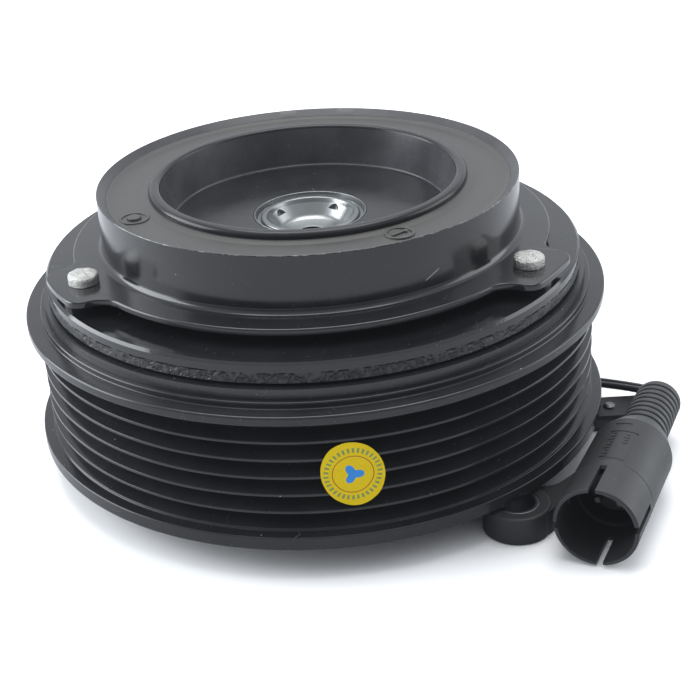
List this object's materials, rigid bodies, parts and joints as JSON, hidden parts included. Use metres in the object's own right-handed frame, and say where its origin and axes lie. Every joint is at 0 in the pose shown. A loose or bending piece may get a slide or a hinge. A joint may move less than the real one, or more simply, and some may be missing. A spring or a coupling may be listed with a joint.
{
  "type": "electromagnetic clutch",
  "caption": "Electromagnetic clutch for a belt-driven compressor: grooved pulley on a double-row bearing, field coil with plug connector, and a rubber-damped armature hub.",
  "frame": {"origin": "on the shaft axis, in the rear mounting face of the field coil's plate", "axes": "+Z along the shaft, towards the hub; the connector's mouth points to -Y and slightly to -X, on the +X side"},
  "size_m": [0.1304, 0.1214, 0.0559],
  "materials": {
    "mounting_plate": "black painted steel sheet",
    "coil_housing": "black painted steel",
    "coil_bobbin": "natural nylon",
    "coil_winding": "enamelled copper wire",
    "coil_potting": "cast resin",
    "coil_retaining_ring": "spring steel, lightly oiled",
    "bearing_inner_ring": "ground bearing steel",
    "bearing_retaining_ring": "spring steel, lightly oiled",
    "wire_grommet": "moulded rubber",
    "lead_wires": "black cable insulation",
    "wire_bracket": "black painted steel strip",
    "bracket_rivet": "steel rivet, painted over",
    "connector_housing": "dark grey moulded nylon",
    "eye_sleeve": "zinc-plated steel tube",
    "pin_carrier": "dark moulded plastic",
    "terminal_pins": "tin-plated brass",
    "connector_seal": "silicone rubber",
    "strain_relief_boot": "dark grey moulded rubber",
    "pulley_ring": "gloss black paint with dust and small scratches",
    "rotor": "gloss black paint outside, bare steel on the friction face",
    "friction_ring": "pressed friction material",
    "bearing_outer_ring": "ground bearing steel",
    "bearing_front_seal": "brown nitrile rubber",
    "bearing_rear_seal": "brown nitrile rubber",
    "bearing_circlip": "spring steel",
    "round_label": null,
    "bearing_cage": "pressed brass",
    "bearing_balls": "polished bearing steel",
    "hub_boss": "zinc-plated steel, bright",
    "hub_cup": "gloss black paint",
    "shims": "rolled steel shim",
    "rubber_damper": "moulded black rubber with a satin skin",
    "damper_shell": "gloss black paint with orange peel",
    "armature_plate": "gloss black paint with runs and dust",
    "rivets": "bare hammered steel",
    "rivet_spacers": "black painted steel"
  },
  "bodies": {
    "stator": {"mounting_plate": "mounting_plate", "coil_housing": "coil_housing", "coil_bobbin": "coil_bobbin", "coil_winding": "coil_winding", "coil_potting": "coil_potting", "coil_retaining_ring": "coil_retaining_ring", "bearing_inner_ring": "bearing_inner_ring", "bearing_retaining_ring": "bearing_retaining_ring", "wire_grommet": "wire_grommet", "lead_wires": "lead_wires", "wire_bracket": "wire_bracket", "bracket_rivet": "bracket_rivet", "connector_housing": "connector_housing", "eye_sleeve": "eye_sleeve", "pin_carrier": "pin_carrier", "terminal_pins": "terminal_pins", "connector_seal": "connector_seal", "strain_relief_boot": "strain_relief_boot"},
    "rotor": {"pulley_ring": "pulley_ring", "rotor": "rotor", "friction_ring": "friction_ring", "bearing_outer_ring": "bearing_outer_ring", "bearing_front_seal": "bearing_front_seal", "bearing_rear_seal": "bearing_rear_seal", "bearing_circlip": "bearing_circlip", "round_label": "round_label"},
    "cage": {"bearing_cage": "bearing_cage", "bearing_balls": "bearing_balls"},
    "hub": {"hub_boss": "hub_boss", "hub_cup": "hub_cup", "shims": "shims", "rubber_damper": "rubber_damper"},
    "armature": {"damper_shell": "damper_shell", "armature_plate": "armature_plate", "rivets": "rivets", "rivet_spacers": "rivet_spacers"}
  },
  "joints": [
    {"name": "rotor_spin", "type": "hinge", "parent": "stator", "child": "rotor", "pos_m": [0, 0, 0.019], "axis": [0, 0, 1], "continuous": true},
    {"name": "cage_spin", "type": "hinge", "parent": "stator", "child": "cage", "pos_m": [0, 0, 0.019], "axis": [0, 0, 1], "continuous": true},
    {"name": "hub_spin", "type": "hinge", "parent": "stator", "child": "hub", "pos_m": [0, 0, 0.04], "axis": [0, 0, 1], "continuous": true},
    {"name": "armature_pull_in", "type": "slide", "parent": "hub", "child": "armature", "axis": [0, 0, -1], "range_m": [0, 0.00048], "stiffness_N_per_m": 30000, "deforming": ["rubber_damper"]}
  ],
  "couplings": [
    {"joint": "cage_spin", "follows": "rotor_spin", "ratio": 0.556}
  ]
}
